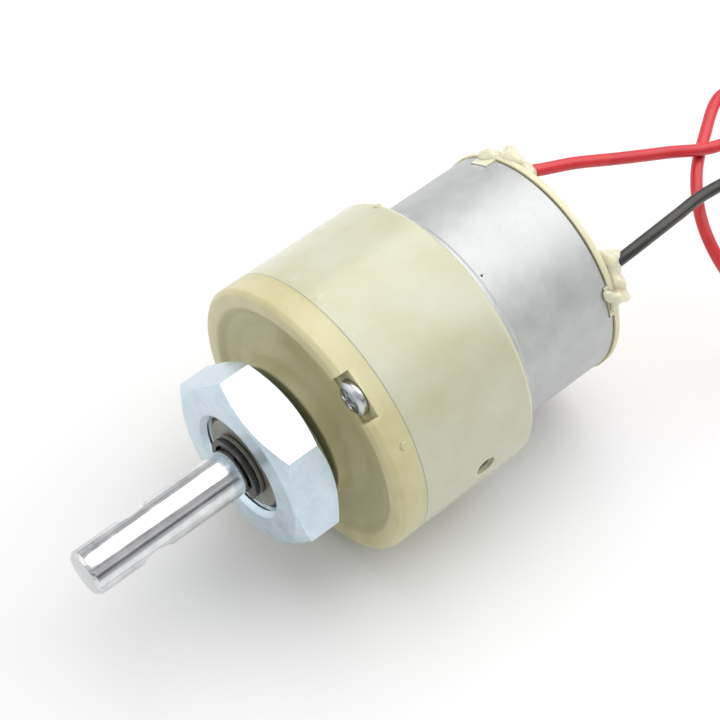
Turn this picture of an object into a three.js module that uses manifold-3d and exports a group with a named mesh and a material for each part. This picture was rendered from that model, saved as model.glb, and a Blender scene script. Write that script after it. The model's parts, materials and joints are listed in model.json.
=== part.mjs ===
// Geared DC motor with a threaded bush, a hexagon mounting nut and flying leads.
// Millimetres, +Z up. The output shaft lies along Y and points to -Y, which is the front.
// Pieces are written with y = 0 on the raised front rim of the gearbox cover;
// the whole group is then shifted so that the centre of the shaft's end face is the origin.
// Angles are in degrees about Y, from +X towards +Z. Profiles turned about Y are [radius, y]
// pairs; outlines across Y are [x, z] pairs.
import * as THREE from 'three';
import { mergeVertices } from 'three/addons/utils/BufferGeometryUtils.js';
import Module from 'manifold-3d';

const wasm = await Module();
wasm.setup();

// ---- driving dimensions -------------------------------------------------
const SHELL_SEGMENTS = 36;
const FINE_SEGMENTS = 30;
const WASHER_SEGMENTS = 20;
const SMALL_SEGMENTS = 16;
const PIN_SEGMENTS = 14;
const HOLE_SEGMENTS = 12;

const SHAFT_TIP = -32.0;
const SHAFT_R = 3.0;
const SEAT_R = 2.5;              // reduced end of the shaft that carries the output gear
const SEAT_FLAT_X = 2.0;         // flat on that seat, facing +X
const CLIP_FRONT = -10.28;
const CLIP_REAR = -9.6;

const BODY_R = 37 / 2;           // gearbox outside radius
const DISH_Y = 1.4;              // sunk front face of the cover, inside the rim
const COVER_INNER_Y = 3.4;
const COVER_REAR = 3.85;
const COVER_SCREW_ANGLES = [57.6, 57.6 + 180];
const COVER_SCREW_R = 16.0;      // distance of the cover screws from the axis
const SIDE_SCREW_ANGLE = -4;
const SIDE_SCREW_Y = 13.2;
const MOTOR_SCREW_ANGLES = [-30, 150];
const MOTOR_SCREW_R = 10;        // distance of the motor screws from the axis

const GEAR_MODULE = 0.4;
const PRESSURE_ANGLE = 20;
const PINION_TEETH = 10;
const WHEEL_TEETH = 30;
const CENTRE_DISTANCE = GEAR_MODULE * (PINION_TEETH + WHEEL_TEETH) / 2;
const SPINDLE_A_ANGLE = 120;
const SPINDLE_B_ANGLE = 180;
const SPINDLE_R = 1.0;
const SPINDLE_SOCKET_R = SPINDLE_R + 0.08;
const SPINDLE_BORE_R = SPINDLE_R + 0.1;

const CAN_REAR = 37.25;
const CAP_REAR = 38.4;
// keys of the end cap: angle, half width, front y
const CAP_KEYS = [[121.7, 1.5, 35.75], [24, 2.1, 36.75], [301.7, 1.5, 35.75], [204, 2.1, 36.75]];
const ROTOR_BORE_R = 1.22;
const POLE_ANGLES = [90, 210, 330];

const TERMINAL_R = 12.7;         // distance of the terminal blades from the axis
const TERMINAL_HALF_THICKNESS = 0.2;
const TERMINAL_HALF_WIDTH = 1.1;
// side is the sense of rotation in which the brush arm leaves the terminal
const TERMINALS = [
  { angle: 98, brushAngle: 160, side: 1 },
  { angle: 41, brushAngle: -20, side: -1 },
];

// ---- places and outlines ------------------------------------------------
const radians = (degrees) => degrees * Math.PI / 180;
const polar = (radius, angle) => [
  radius * Math.cos(radians(angle)),
  radius * Math.sin(radians(angle)),
];

const circle = (radius, count, phase = 0) => Array.from({ length: count }, (_, k) => {
  const angle = 2 * Math.PI * k / count + phase;
  return [radius * Math.cos(angle), radius * Math.sin(angle)];
});

const arc = (radius, from, to, steps) =>
  Array.from({ length: steps + 1 }, (_, k) => polar(radius, from + (to - from) * k / steps));

const sector = (inner, outer, from, to, steps) =>
  [...arc(outer, from, to, steps), ...arc(inner, to, from, steps)];

// strip of constant thickness along a polyline
function strip(line, thickness) {
  const left = [];
  const right = [];
  line.forEach(([x, z], i) => {
    const [previousX, previousZ] = line[Math.max(0, i - 1)];
    const [nextX, nextZ] = line[Math.min(line.length - 1, i + 1)];
    const length = Math.hypot(nextX - previousX, nextZ - previousZ);
    const alongX = (nextX - previousX) / length;
    const alongZ = (nextZ - previousZ) / length;
    left.push([x - alongZ * thickness / 2, z + alongX * thickness / 2]);
    right.push([x + alongZ * thickness / 2, z - alongX * thickness / 2]);
  });
  return left.concat(right.reverse());
}

// ---- shapes -------------------------------------------------------------
// a body of revolution about Y; profiles off the axis close on themselves
function lathe(profile, segments = SMALL_SEGMENTS) {
  const points = profile.map(([radius, y]) => new THREE.Vector2(radius, y));
  if (profile[0][0] > 0) points.push(points[0].clone());
  return new THREE.LatheGeometry(points, segments);
}
const rod = (radius, y0, y1, segments) =>
  lathe([[0, y0], [radius, y0], [radius, y1], [0, y1]], segments);
const tube = (inner, outer, y0, y1, segments) =>
  lathe([[inner, y0], [outer, y0], [outer, y1], [inner, y1]], segments);

function extrude(outline, holes, options) {
  const vectors = (points) => points.map(([u, v]) => new THREE.Vector2(u, v));
  const shape = new THREE.Shape(vectors(outline));
  holes.forEach((hole) => shape.holes.push(new THREE.Path(vectors(hole))));
  return new THREE.ExtrudeGeometry(shape, { steps: 1, bevelEnabled: false, ...options });
}

function prism(outline, y0, y1, holes = []) {
  const geometry = extrude(outline, holes, { depth: y1 - y0 });
  geometry.rotateX(Math.PI / 2);
  return geometry.translate(0, y1, 0);
}

// a box given by its ranges, then turned about Y
function box([x0, x1], [y0, y1], [z0, z1], angle = 0) {
  const geometry = new THREE.BoxGeometry(x1 - x0, y1 - y0, z1 - z0);
  geometry.translate((x0 + x1) / 2, (y0 + y1) / 2, (z0 + z1) / 2);
  return geometry.rotateY(-radians(angle));
}

const at = ([x, z], geometry) => geometry.translate(x, 0, z);

// lays a body built about Y along a radius, its own y becoming the distance from the axis
function radial(geometry, angle, y) {
  geometry.rotateZ(-Math.PI / 2);
  geometry.translate(0, y, 0);
  return geometry.rotateY(-radians(angle));
}

// ---- meshes and solids --------------------------------------------------
function volumeOf(geometry) {
  const { index, attributes } = geometry;
  const corner = (k) => new THREE.Vector3().fromBufferAttribute(attributes.position, index.getX(k));
  let volume = 0;
  for (let k = 0; k < index.count; k += 3) {
    volume += corner(k).dot(corner(k + 1).cross(corner(k + 2))) / 6;
  }
  return volume;
}

// merged, without collapsed triangles and facing outwards
function closed(source) {
  let geometry = source.clone();
  geometry.deleteAttribute('normal');
  geometry.deleteAttribute('uv');
  geometry = mergeVertices(geometry, 1e-4);
  const corners = geometry.index.array;
  const kept = [];
  for (let k = 0; k < corners.length; k += 3) {
    const [a, b, c] = corners.slice(k, k + 3);
    if (a !== b && b !== c && a !== c) kept.push(a, b, c);
  }
  geometry.setIndex(kept);
  if (volumeOf(geometry) < 0) {
    for (let k = 0; k < kept.length; k += 3) {
      [kept[k + 1], kept[k + 2]] = [kept[k + 2], kept[k + 1]];
    }
    geometry.setIndex(kept);
  }
  return geometry;
}

function solid(source) {
  const geometry = closed(source);
  return new wasm.Manifold(new wasm.Mesh({
    numProp: 3,
    vertProperties: new Float32Array(geometry.attributes.position.array),
    triVerts: new Uint32Array(geometry.index.array),
  }));
}

function fromSolid(body) {
  const mesh = body.getMesh();
  const geometry = new THREE.BufferGeometry();
  const positions = new Float32Array(mesh.vertProperties);
  geometry.setAttribute('position', new THREE.BufferAttribute(positions, 3));
  geometry.setIndex(Array.from(mesh.triVerts));
  return geometry;
}

const join = (body, ...parts) => parts.reduce((sum, part) => sum.add(solid(part)), body);
const cut = (body, ...tools) => tools.reduce((rest, tool) => rest.subtract(solid(tool)), body);

const root = new THREE.Group();
function put(name, geometry, material) {
  const mesh = new THREE.Mesh(closed(geometry), material);
  mesh.name = name;
  root.add(mesh);
}
const putSolid = (name, body, material) => put(name, fromSolid(body), material);

// ---- materials ----------------------------------------------------------
const nonMetal = ({ color, roughness }) =>
  new THREE.MeshStandardMaterial({ color, roughness, metalness: 0 });
const metal = ({ color, roughness }) =>
  new THREE.MeshStandardMaterial({ color, roughness, metalness: 1 });

const COVER_PLASTIC = nonMetal({ color: 0xb3a86e, roughness: 0.45 });
const RING_PLASTIC = nonMetal({ color: 0xd8d6c2, roughness: 0.5 });
const CAP_PLASTIC = nonMetal({ color: 0xddd5b8, roughness: 0.5 });
const NYLON = nonMetal({ color: 0xeae6d8, roughness: 0.5 });
const FERRITE = nonMetal({ color: 0x35373a, roughness: 0.8 });
const CARBON = nonMetal({ color: 0x222222, roughness: 0.8 });
const FIBRE = nonMetal({ color: 0x6b4a2c, roughness: 0.8 });
const RED = nonMetal({ color: 0xc4202e, roughness: 0.45 });
const BLACK = nonMetal({ color: 0x26261f, roughness: 0.45 });
const GLUE = nonMetal({ color: 0xe2d9a4, roughness: 0.4 });
const STEEL = metal({ color: 0xb9bcc0, roughness: 0.22 });
const ZINC = metal({ color: 0xc3d2dc, roughness: 0.3 });
const DARK_STEEL = metal({ color: 0x55564f, roughness: 0.45 });
const BLACK_STEEL = metal({ color: 0x1c1c1a, roughness: 0.5 });
const CAN_STEEL = metal({ color: 0xa9aba6, roughness: 0.35 });
const BRASS = metal({ color: 0xc2a04e, roughness: 0.3 });
const BRONZE = metal({ color: 0xa07440, roughness: 0.45 });
const COPPER = metal({ color: 0xb56a3c, roughness: 0.35 });
const TIN = metal({ color: 0xc9cbcc, roughness: 0.35 });

// ---- shared axes --------------------------------------------------------
const SPINDLE_A = polar(CENTRE_DISTANCE, SPINDLE_A_ANGLE);
const SPINDLE_B = polar(CENTRE_DISTANCE, SPINDLE_B_ANGLE);
const COVER_SCREW_PLACES = COVER_SCREW_ANGLES.map((angle) => polar(COVER_SCREW_R, angle));
const MOTOR_SCREW_PLACES = MOTOR_SCREW_ANGLES.map((angle) => polar(MOTOR_SCREW_R, angle));

// clearance holes round each place or spindle
const holes = (places, radius, y0, y1) =>
  places.map((place) => at(place, rod(radius, y0, y1, HOLE_SEGMENTS)));
const spindleHoles = (y0, y1) => holes([SPINDLE_A, SPINDLE_B], SPINDLE_SOCKET_R, y0, y1);

// ---- gearbox shells -----------------------------------------------------
// cover: raised outer rim, sloped step down to a dish, raised hub with the bush hole,
// two screw bosses with notches open to the outside
function frontCover() {
  const boreR = 6.6;
  const hubR = 9.4;
  const hubFront = -1.9;
  const insideR = 16.2;
  const bossR = 2.3;
  const bossPlaceR = 15.7;
  const notchInner = 13.93;
  const notchHalfWidth = 3.13;
  const screwHoleR = 1.15;
  const turned = solid(lathe([
    [boreR, hubFront], [hubR - 0.4, hubFront], [hubR, hubFront + 0.4], [hubR + 0.1, DISH_Y],
    [14.7, DISH_Y], [15.3, 0.75], [15.75, 0.0], [17.95, 0.0], [18.35, 0.16], [BODY_R, 0.55],
    [BODY_R, COVER_REAR], [insideR, COVER_REAR], [insideR, COVER_INNER_Y], [boreR, COVER_INNER_Y],
  ], SHELL_SEGMENTS));
  const bosses = COVER_SCREW_ANGLES.map((angle) =>
    at(polar(bossPlaceR, angle), rod(bossR, 2.4, COVER_REAR, PIN_SEGMENTS)));
  const notches = COVER_SCREW_ANGLES.map((angle) =>
    box([notchInner, 19.5], [-1, DISH_Y], [-notchHalfWidth, notchHalfWidth], angle));
  const screwHoles = holes(COVER_SCREW_PLACES, screwHoleR, 0.9, 5);
  return cut(join(turned, ...bosses), ...notches, ...screwHoles, ...spindleHoles(2.1, 4.2));
}
putSolid('front_cover', frontCover(), COVER_PLASTIC);

// ring housing: thin wall round the gears, throat for the motor, two screw posts,
// one stepped radial hole for the side screw
function ringHousing() {
  const front = 3.95;
  const rear = 21.05;
  const innerR = 16.3;
  const throatR = 15.7;
  const seatY = 17.35;
  const postR = 2.15;
  const postPlaceR = 15.9;
  const screwHoleR = 1.1;
  const wall = solid(lathe([
    [innerR, front], [BODY_R, front], [BODY_R, 20.6], [18.1, rear], [throatR, rear],
    [throatR, seatY], [innerR, seatY],
  ], SHELL_SEGMENTS));
  const posts = COVER_SCREW_ANGLES.map((angle) =>
    at(polar(postPlaceR, angle), rod(postR, front, 14.2, PIN_SEGMENTS)));
  const screwHoles = holes(COVER_SCREW_PLACES, screwHoleR, 3.0, 12.0);
  const sideHole = lathe([[0, 14], [1.3, 14], [1.3, 17.6], [1.75, 17.6], [1.75, 20], [0, 20]]);
  return cut(join(wall, ...posts), ...screwHoles, radial(sideHole, SIDE_SCREW_ANGLE, SIDE_SCREW_Y));
}
putSolid('ring_housing', ringHousing(), RING_PLASTIC);

// gear plate: steel disc behind the gears, with a lug bent forward that the side screw enters
function gearPlate() {
  const front = 15.9;
  const rear = 17.3;
  const plateR = 16.15;
  const boreR = 4.05;
  const lugHalfWidth = 2.6;
  const disc = solid(tube(boreR, plateR, front, rear, SHELL_SEGMENTS));
  const lugArc = solid(tube(14.75, 15.95, 11.2, 16.6, SHELL_SEGMENTS));
  const lugRange = box([13, 17], [11.0, 17], [-lugHalfWidth, lugHalfWidth], SIDE_SCREW_ANGLE);
  const lug = lugArc.intersect(solid(lugRange));
  const sideHole = radial(rod(1.3, 13.5, 17.5, HOLE_SEGMENTS), SIDE_SCREW_ANGLE, SIDE_SCREW_Y);
  const sinks = MOTOR_SCREW_PLACES.map((place) => at(place, lathe([
    [0, 15], [2.5, 15], [2.5, front + 0.15], [1.3, 17.2], [1.3, 18], [0, 18],
  ], PIN_SEGMENTS)));
  return cut(disc.add(lug), sideHole, ...sinks, ...spindleHoles(15.2, 18));
}
putSolid('gear_plate', gearPlate(), CAN_STEEL);

// ---- fasteners ----------------------------------------------------------
// domed head with a cross recess
function coverScrew() {
  const length = [-1.25, 1.25];
  const width = [-0.26, 0.26];
  const depth = [-0.5, 0.95];
  const recessAngle = 20;
  const turned = solid(lathe([
    [0, 0.25], [1.2, 0.27], [1.9, 0.42], [2.25, 0.75], [2.3, 1.36], [1.0, 1.36], [1.0, 10.6],
    [0.25, 11.5], [0, 11.5],
  ]));
  return cut(turned, box(length, depth, width, recessAngle), box(width, depth, length, recessAngle));
}
COVER_SCREW_PLACES.forEach((place, i) =>
  put(`cover_screw_${i + 1}`, at(place, fromSolid(coverScrew())), STEEL));

// countersunk head with a straight slot
function motorScrew() {
  const slotAngle = 33;
  const turned = solid(lathe([
    [0, 15.98], [2.35, 15.98], [2.35, 16.05], [1.2, 17.15], [1.2, 18.9], [0, 18.9],
  ], PIN_SEGMENTS));
  return cut(turned, box([-1.1, 1.1], [15, 16.6], [-0.22, 0.22], slotAngle));
}
MOTOR_SCREW_PLACES.forEach((place, i) =>
  put(`motor_screw_${i + 1}`, at(place, fromSolid(motorScrew())), STEEL));

// headless screw with a hexagon socket, set in the side of the ring housing
function sideScrew() {
  const turned = solid(lathe([
    [0, 14.3], [0.8, 14.3], [1.2, 14.7], [1.2, 17.3], [1.0, 17.5], [0, 17.5],
  ], PIN_SEGMENTS));
  const socketCornerR = 0.68;
  const screw = cut(turned, prism(circle(socketCornerR, 6), 16.4, 18));
  return radial(fromSolid(screw), SIDE_SCREW_ANGLE, SIDE_SCREW_Y);
}
put('side_screw', sideScrew(), DARK_STEEL);

// ---- output bush, nut and shaft -----------------------------------------
function outputBush() {
  const front = -8.85;
  const rear = 4.6;
  const bushR = 6.45;
  const flangeR = 6.9;
  const flangeFront = COVER_INNER_Y + 0.05;
  const boreR = 3.07;
  return lathe([
    [3.4, front], [6.1, front], [bushR, front + 0.35], [bushR, flangeFront],
    [flangeR, flangeFront], [flangeR, rear], [boreR, rear], [boreR, front + 0.33],
  ], FINE_SEGMENTS);
}
put('output_bush', outputBush(), DARK_STEEL);

// hexagon with its corners chamfered on both faces, and a bore with sloped mouths
function mountingNut() {
  const front = -9.65;
  const rear = -3.3;
  const cornerR = 12.55;
  const cornerAngle = 47.2;
  const faceR = 10.6;
  const chamferRun = 2.9;
  const chamferDrop = chamferRun * 0.574;
  const chamferR = faceR + chamferRun;
  const boreR = 6.62;
  const mouthR = 7.25;
  const mouthDepth = 0.6;
  const hexagon = solid(prism(circle(cornerR, 6, radians(cornerAngle)), front, rear));
  const turned = solid(lathe([
    [0, front], [faceR, front], [chamferR, front + chamferDrop], [chamferR, rear - chamferDrop],
    [faceR, rear], [0, rear],
  ], FINE_SEGMENTS));
  const bore = lathe([
    [0, front - 1], [mouthR, front - 1], [mouthR, front], [boreR, front + mouthDepth],
    [boreR, rear - mouthDepth], [mouthR, rear], [mouthR, rear + 1], [0, rear + 1],
  ], FINE_SEGMENTS);
  return cut(hexagon.intersect(turned), bore);
}
putSolid('mounting_nut', mountingNut(), ZINC);

// shaft with a clip groove, a cross hole with sunk mouths and a reduced, flatted gear seat
function outputShaft() {
  const chamfer = 0.4;
  const grooveR = 2.2;
  const grooveFront = CLIP_FRONT - 0.05;
  const grooveRear = CLIP_REAR + 0.05;
  const seatFront = 4.75;
  const rear = 8.4;
  const flatFront = 5.03;
  const crossHoleR = 1.5;
  const crossHoleAngle = 151;
  const crossHoleY = SHAFT_TIP + 8.5;
  const turned = solid(lathe([
    [0, SHAFT_TIP], [SHAFT_R - chamfer, SHAFT_TIP], [SHAFT_R, SHAFT_TIP + chamfer],
    [SHAFT_R, grooveFront], [grooveR, grooveFront], [grooveR, grooveRear], [SHAFT_R, grooveRear],
    [SHAFT_R, seatFront], [SEAT_R, seatFront], [SEAT_R, rear], [0, rear],
  ], FINE_SEGMENTS));
  const crossHole = lathe([
    [0, -4], [2.7, -4], [2.35, -2.75], [crossHoleR, -2.2],
    [crossHoleR, 2.2], [2.35, 2.75], [2.7, 4], [0, 4],
  ], PIN_SEGMENTS);
  const flat = box([SEAT_FLAT_X, 4], [flatFront, 9], [-4, 4]);
  return cut(turned, radial(crossHole, crossHoleAngle, crossHoleY), flat);
}
putSolid('output_shaft', outputShaft(), STEEL);

// spring clip: outer arc open at the mouth, three inward lands that sit in the groove
function snapRing() {
  const outerR = 4.65;
  const innerR = 3.55;
  const landR = 2.34;
  const mouth = 38;              // half angle of the opening
  const land = 16;               // half angle of a land
  const ramp = 4;                // angle from a land's edge to the inner arc
  const middle = -77 + 180;      // direction of the middle land, opposite the mouth
  const side = 180 - mouth - land - 2;  // angle from the middle land to a side land
  // radius, start and end angle from the middle land, steps
  const arcs = [
    [outerR, mouth - 180, 180 - mouth, 26],
    [landR, side + land, side - land, 3],
    [innerR, side - land - ramp, land + ramp, 5],
    [landR, land, -land, 4],
    [innerR, -land - ramp, -side + land + ramp, 5],
    [landR, -side + land, -side - land, 3],
  ];
  const outline = arcs.flatMap(([radius, from, to, steps]) =>
    arc(radius, middle + from, middle + to, steps));
  return prism(outline, CLIP_FRONT, CLIP_REAR);
}
put('snap_ring', snapRing(), BLACK_STEEL);
put('thrust_washer', tube(3.08, 4.35, -9.52, -8.92, WASHER_SEGMENTS), BLACK_STEEL);

// ---- gear train ---------------------------------------------------------
const involute = (angle) => Math.tan(angle) - angle;

// thickness is that of a tooth on the pitch circle, toothAngle the centre of one tooth,
// and radii the stations of a flank from root to tip
function gearOutline({ teeth, thickness, radii }, toothAngle) {
  const pitchR = GEAR_MODULE * teeth / 2;
  const baseR = pitchR * Math.cos(radians(PRESSURE_ANGLE));
  const halfAngle = (radius) => thickness / (2 * pitchR) + involute(radians(PRESSURE_ANGLE))
    - involute(Math.acos(Math.min(1, baseR / radius)));
  const outline = [];
  for (let k = 0; k < teeth; k++) {
    const centre = radians(toothAngle) + 2 * Math.PI * k / teeth;
    const flankPoint = (radius, side) => {
      const angle = centre + side * halfAngle(radius);
      return [radius * Math.cos(angle), radius * Math.sin(angle)];
    };
    outline.push(...radii.map((radius) => flankPoint(radius, -1)));
    outline.push(...radii.toReversed().map((radius) => flankPoint(radius, 1)));
  }
  return outline;
}

// long-addendum pinions and short-addendum wheels, thinned for backlash
const PINION = { teeth: PINION_TEETH, thickness: 0.724, radii: [1.7, 1.95, 2.5] };
const WHEEL = { teeth: WHEEL_TEETH, thickness: 0.433, radii: [5.3, 6.2] };
const pinionOutline = gearOutline(PINION, 0);  // every pinion has a tooth towards +X

// wheel that meshes with a pinion, seen along direction from the pinion to the wheel
function wheelOutline(direction) {
  const pinionPhase = (direction * PINION_TEETH / 360) % 1;
  const wheelPhase = 0.5 - pinionPhase;  // a tooth space faces a tooth
  return gearOutline(WHEEL, direction + 180 - wheelPhase * 360 / WHEEL_TEETH);
}

function compoundGear(place, direction, [wheelFront, wheelRear], [pinionFront, pinionRear]) {
  const body = join(
    solid(at(place, prism(wheelOutline(direction), wheelFront, wheelRear))),
    at(place, prism(pinionOutline, pinionFront, pinionRear)),
  );
  return cut(body, at(place, rod(SPINDLE_BORE_R, pinionFront - 1, wheelRear + 1, PIN_SEGMENTS)));
}

put('motor_pinion', prism(pinionOutline, 13.35, 15.6, [circle(1.2, PIN_SEGMENTS)]), BRASS);

const A_TO_B = Math.atan2(SPINDLE_B[1] - SPINDLE_A[1], SPINDLE_B[0] - SPINDLE_A[0])
  * 180 / Math.PI;
// axis, direction from the driving pinion, wheel y range, pinion y range, material
[
  [SPINDLE_A, SPINDLE_A_ANGLE, [13.3, 15.3], [11.0, 13.6], NYLON],
  [SPINDLE_B, A_TO_B, [11.2, 13.0], [8.6, 11.5], STEEL],
  [SPINDLE_A, A_TO_B + 180, [8.7, 10.7], [5.2, 9.0], STEEL],
].forEach(([place, direction, wheelY, pinionY, material], i) =>
  putSolid(`gear_${i + 1}`, compoundGear(place, direction, wheelY, pinionY), material));

function outputGear() {
  const wheel = solid(prism(wheelOutline(SPINDLE_A_ANGLE + 180), 5.2, 8.2));
  const bore = solid(rod(SEAT_R + 0.08, 4, 9.5, WASHER_SEGMENTS));
  return wheel.subtract(cut(bore, box([SEAT_FLAT_X + 0.06, 4], [3, 10], [-4, 4])));
}
putSolid('output_gear', outputGear(), STEEL);

put('spindle_a', at(SPINDLE_A, rod(SPINDLE_R, 2.2, 17.2, PIN_SEGMENTS)), STEEL);
put('spindle_b', at(SPINDLE_B, rod(SPINDLE_R, 2.2, 17.2, PIN_SEGMENTS)), STEEL);
const spacer = (y0, y1) => at(SPINDLE_B, tube(SPINDLE_BORE_R, 1.7, y0, y1, HOLE_SEGMENTS));
put('spindle_spacer_front', spacer(4.75, 8.5), NYLON);
put('spindle_spacer_rear', spacer(13.1, 15.8), NYLON);

// ---- motor --------------------------------------------------------------
// can open at the rear, with a front nose, key slots in its rear edge and two screw holes
function motorCan() {
  const outerR = 15.5;
  const innerR = 14.7;
  const front = 17.4;
  const insideFront = 18.3;
  const noseR = 3.9;
  const noseBoreR = 3.12;
  const noseFront = 15.95;
  const keyPlay = 0.15;
  const shell = solid(lathe([
    [noseBoreR, insideFront], [innerR, insideFront], [innerR, CAN_REAR], [outerR, CAN_REAR],
    [outerR, 18.0], [14.9, front], [noseR, front], [noseR, noseFront], [noseBoreR, noseFront],
  ], SHELL_SEGMENTS));
  const slots = CAP_KEYS.map(([angle, halfWidth, keyFront]) => box(
    [13.9, 16.5], [keyFront - keyPlay, 38], [-halfWidth - keyPlay, halfWidth + keyPlay], angle));
  return cut(shell, ...slots, ...holes(MOTOR_SCREW_PLACES, 1.3, 16.5, 19));
}
putSolid('motor_can', motorCan(), CAN_STEEL);
put('front_bearing', tube(1.2, 3.05, 16.05, 18.9), BRONZE);
put('rear_bearing', tube(1.2, 2.92, 38.0, 40.3), BRONZE);

const MAGNET_HALF_ANGLE = 58;
[70, 250].forEach((middle, i) => {
  const ends = [middle - MAGNET_HALF_ANGLE, middle + MAGNET_HALF_ANGLE];
  put(`magnet_${i + 1}`, prism(sector(12.5, 14.55, ...ends, 14), 20.4, 33.6), FERRITE);
});

// bent wire spring that holds the magnets apart: radius, angle
const MAGNET_SPRING_LINE = [
  [12.9, 131], [14.2, 133.5], [14.3, 147], [14.3, 160], [14.3, 173], [14.2, 186.5], [12.9, 189],
].map(([radius, angle]) => polar(radius, angle));
put('magnet_spring', prism(strip(MAGNET_SPRING_LINE, 0.4), 21.5, 32.5), STEEL);
put('motor_shaft', rod(1.15, 13.45, 39.9, PIN_SEGMENTS), STEEL);

// three-pole laminated core
function rotorCore() {
  const rootX = 3.6;
  const neckX = 10.1;
  const neckHalfWidth = 2.0;
  const shoeAngle = 50;          // half angle of a pole shoe
  const shoeInnerR = 10.7;
  const shoeOuterR = 11.9;
  const pole = [
    [rootX, -neckHalfWidth], [neckX, -neckHalfWidth], polar(shoeInnerR, -shoeAngle),
    ...arc(shoeOuterR, -shoeAngle, shoeAngle, 10),
    polar(shoeInnerR, shoeAngle), [neckX, neckHalfWidth], [rootX, neckHalfWidth],
  ];
  const outline = POLE_ANGLES.flatMap((angle) => {
    const [cos, sin] = polar(1, angle);
    return pole.map(([x, z]) => [x * cos - z * sin, x * sin + z * cos]);
  });
  return prism(outline, 21, 31, [circle(ROTOR_BORE_R, PIN_SEGMENTS)]);
}
put('rotor_core', rotorCore(), CAN_STEEL);

// rectangular frame of copper round each pole's neck
function winding(angle) {
  const innerFace = 4.9;         // distance from the axis
  const frame = (halfWidth, y0, y1) =>
    [[-halfWidth, y0], [halfWidth, y0], [halfWidth, y1], [-halfWidth, y1]];
  const coil = extrude(frame(4.2, 19.6, 32.4), [frame(2.2, 20.85, 31.15)], { depth: 3.8 });
  coil.translate(0, 0, innerFace);
  return coil.rotateY(radians(90 - angle));
}
POLE_ANGLES.forEach((angle, i) => put(`winding_${i + 1}`, winding(angle), COPPER));

put('commutator_hub', tube(ROTOR_BORE_R, 2.6, 32.9, 36.7), FIBRE);
for (let i = 0; i < 3; i++) {
  const outline = sector(2.66, 3.5, 32 + 120 * i, 148 + 120 * i, 8);
  put(`commutator_segment_${i + 1}`, prism(outline, 33.1, 36.6), COPPER);
}
put('rotor_washer', tube(ROTOR_BORE_R, 2.4, 19.0, 20.8), FIBRE);

// ---- end cap and brush gear ---------------------------------------------
function endCap() {
  const boreR = 3.0;
  const skirtFront = 34.8;
  const rimFront = 37.4;
  const hubRear = 40.6;
  const turned = solid(lathe([
    [boreR, 37.35], [13.4, 37.35], [13.4, skirtFront], [14.5, skirtFront], [14.5, rimFront],
    [15.75, rimFront], [15.75, 38.15], [15.5, CAP_REAR], [4.8, CAP_REAR], [4.8, 40.2],
    [4.4, hubRear], [boreR, hubRear],
  ], SHELL_SEGMENTS));
  const keys = CAP_KEYS.map(([angle, halfWidth, keyFront]) =>
    box([14.0, 15.55], [keyFront, 37.8], [-halfWidth, halfWidth], angle));
  const slots = TERMINALS.map(({ angle }) =>
    box([TERMINAL_R - 0.5, TERMINAL_R + 0.5], [36, 40], [-1.4, 1.4], angle));
  return cut(join(turned, ...keys), ...slots);
}
putSolid('end_cap', endCap(), CAP_PLASTIC);

// blade across the radius, enlarged on its four sides by play
const terminalBlade = (angle, y0, y1, play = 0) => {
  const halfThickness = TERMINAL_HALF_THICKNESS + play;
  const halfWidth = TERMINAL_HALF_WIDTH + play;
  const range = [TERMINAL_R - halfThickness, TERMINAL_R + halfThickness];
  return box(range, [y0, y1], [-halfWidth, halfWidth], angle);
};

// bent strip from the terminal to the back of the brush
function brushArm({ angle, brushAngle, side }) {
  const [tangentX, tangentZ] = polar(1, brushAngle + 90);
  const [backX, backZ] = polar(5.85, brushAngle);
  const besideBrush = (offset) => [
    backX + side * offset * tangentX,
    backZ + side * offset * tangentZ,
  ];
  const line = [
    polar(TERMINAL_R, angle - side * 2), polar(11.6, angle + side * 27),
    besideBrush(-2.6), besideBrush(1.2),
  ];
  return prism(strip(line, 0.35), 34.3, 36.4);
}

TERMINALS.forEach((terminal, i) => {
  put(`terminal_${i + 1}`, terminalBlade(terminal.angle, 36.5, 41.0), BRASS);
  put(`brush_arm_${i + 1}`, brushArm(terminal), COPPER);
  const brush = box([3.62, 5.6], [34.1, 36.2], [-1.2, 1.2], terminal.brushAngle);
  put(`brush_${i + 1}`, brush, CARBON);
});

// ---- leads --------------------------------------------------------------
// each lead is a hollow jacket round a core that stands out at both ends
const WIRE_R = 0.8;
const JACKET_BORE_R = 0.52;
const CORE_R = 0.36;
// stations along each lead, from its terminal: x, y, z
const RED_PATH = [
  [-1.85, 39.6, 14.15], [-2.1, 42.0, 13.9], [-0.9, 45.2, 12.8], [1.4, 50.3, 11.4],
  [4.0, 56.6, 9.8], [7.0, 63.4, 9.4], [8.0, 69.5, 10.6], [4.4, 73.0, 11.2],
  [1.3, 69.6, 9.9], [3.6, 63.5, 8.2], [7.4, 58.2, 7.4], [11.9, 54.9, 5.4],
  [16.4, 54.2, 2.2], [21.5, 56.6, -3.4], [24.0, 60.6, -9.6],
];
const BLACK_PATH = [
  [10.7, 39.6, 9.35], [11.6, 42.0, 9.9], [11.9, 46.0, 10.3], [11.3, 51.0, 10.9],
  [11.2, 56.4, 10.9], [13.0, 62.2, 9.6], [16.6, 67.6, 5.8], [20.6, 71.0, -0.6],
  [23.5, 73.4, -7.6],
];

// a curve through given samples, so that a jacket, its core and the hole round it
// share their cross sections
class Sampled extends THREE.Curve {
  constructor(points) {
    super();
    this.points = points;
  }

  getPointAt(u, target = new THREE.Vector3()) {
    return target.copy(this.points[Math.round(u * (this.points.length - 1))]);
  }

  getTangentAt(u, target = new THREE.Vector3()) {
    const last = this.points.length - 1;
    const i = Math.round(u * last);
    const next = this.points[Math.min(last, i + 1)];
    return target.subVectors(next, this.points[Math.max(0, i - 1)]).normalize();
  }
}

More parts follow.
